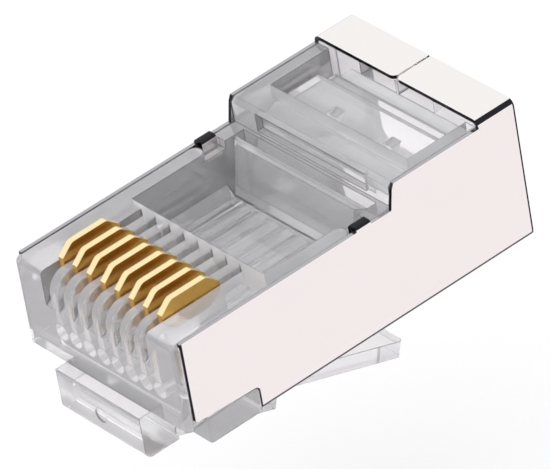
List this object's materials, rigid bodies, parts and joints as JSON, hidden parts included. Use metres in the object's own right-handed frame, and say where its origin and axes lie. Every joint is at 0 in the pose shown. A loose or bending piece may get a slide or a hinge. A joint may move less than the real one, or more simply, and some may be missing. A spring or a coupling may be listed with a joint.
{
  "type": "modular plug",
  "caption": "Clear modular plug with a folded metal shield, gold blade contacts standing proud of its nose, a sprung latch, a conductor press and a fold-down cable clamp.",
  "frame": {"origin": "on the mid-plane, in the plane of the mating face, at the underside of the housing", "axes": "+Y from the mating face to the cable end, +Z to the blade side, +X to the first contact"},
  "size_m": [0.0116, 0.0221, 0.0136],
  "materials": {
    "clear_polycarbonate": "clear, polished",
    "nickel_sheet": "smooth nickel plate",
    "gold_blades": "gold plated, polished"
  },
  "bodies": {
    "plug": {"housing": "clear_polycarbonate", "shield": "nickel_sheet"},
    "latch_arm": {"latch": "clear_polycarbonate"},
    "press": {"conductor_press": "clear_polycarbonate"},
    "clamp": {"cable_clamp": "clear_polycarbonate"},
    "blade_1": {"contact_1": "gold_blades"},
    "blade_2": {"contact_2": "gold_blades"},
    "blade_3": {"contact_3": "gold_blades"},
    "blade_4": {"contact_4": "gold_blades"},
    "blade_5": {"contact_5": "gold_blades"},
    "blade_6": {"contact_6": "gold_blades"},
    "blade_7": {"contact_7": "gold_blades"},
    "blade_8": {"contact_8": "gold_blades"}
  },
  "joints": [
    {"name": "latch_flex", "type": "hinge", "parent": "plug", "child": "latch_arm", "pos_m": [0, 0.0016, -0.00061], "axis": [1, 0, 0], "range_deg": [0, 17], "stiffness_Nm_per_rad": 0.12},
    {"name": "press_drop", "type": "slide", "parent": "plug", "child": "press", "axis": [0, 0, -1], "range_m": [0, 0.0008]},
    {"name": "clamp_fold", "type": "hinge", "parent": "plug", "child": "clamp", "pos_m": [0, 0.01905, 0.00595], "axis": [1, 0, 0], "range_deg": [0, 35]},
    {"name": "contact_1_crimp", "type": "slide", "parent": "plug", "child": "blade_1", "axis": [0, 0, -1], "range_m": [0, 0.0009]},
    {"name": "contact_2_crimp", "type": "slide", "parent": "plug", "child": "blade_2", "axis": [0, 0, -1], "range_m": [0, 0.0009]},
    {"name": "contact_3_crimp", "type": "slide", "parent": "plug", "child": "blade_3", "axis": [0, 0, -1], "range_m": [0, 0.0009]},
    {"name": "contact_4_crimp", "type": "slide", "parent": "plug", "child": "blade_4", "axis": [0, 0, -1], "range_m": [0, 0.0009]},
    {"name": "contact_5_crimp", "type": "slide", "parent": "plug", "child": "blade_5", "axis": [0, 0, -1], "range_m": [0, 0.0009]},
    {"name": "contact_6_crimp", "type": "slide", "parent": "plug", "child": "blade_6", "axis": [0, 0, -1], "range_m": [0, 0.0009]},
    {"name": "contact_7_crimp", "type": "slide", "parent": "plug", "child": "blade_7", "axis": [0, 0, -1], "range_m": [0, 0.0009]},
    {"name": "contact_8_crimp", "type": "slide", "parent": "plug", "child": "blade_8", "axis": [0, 0, -1], "range_m": [0, 0.0009]}
  ]
}
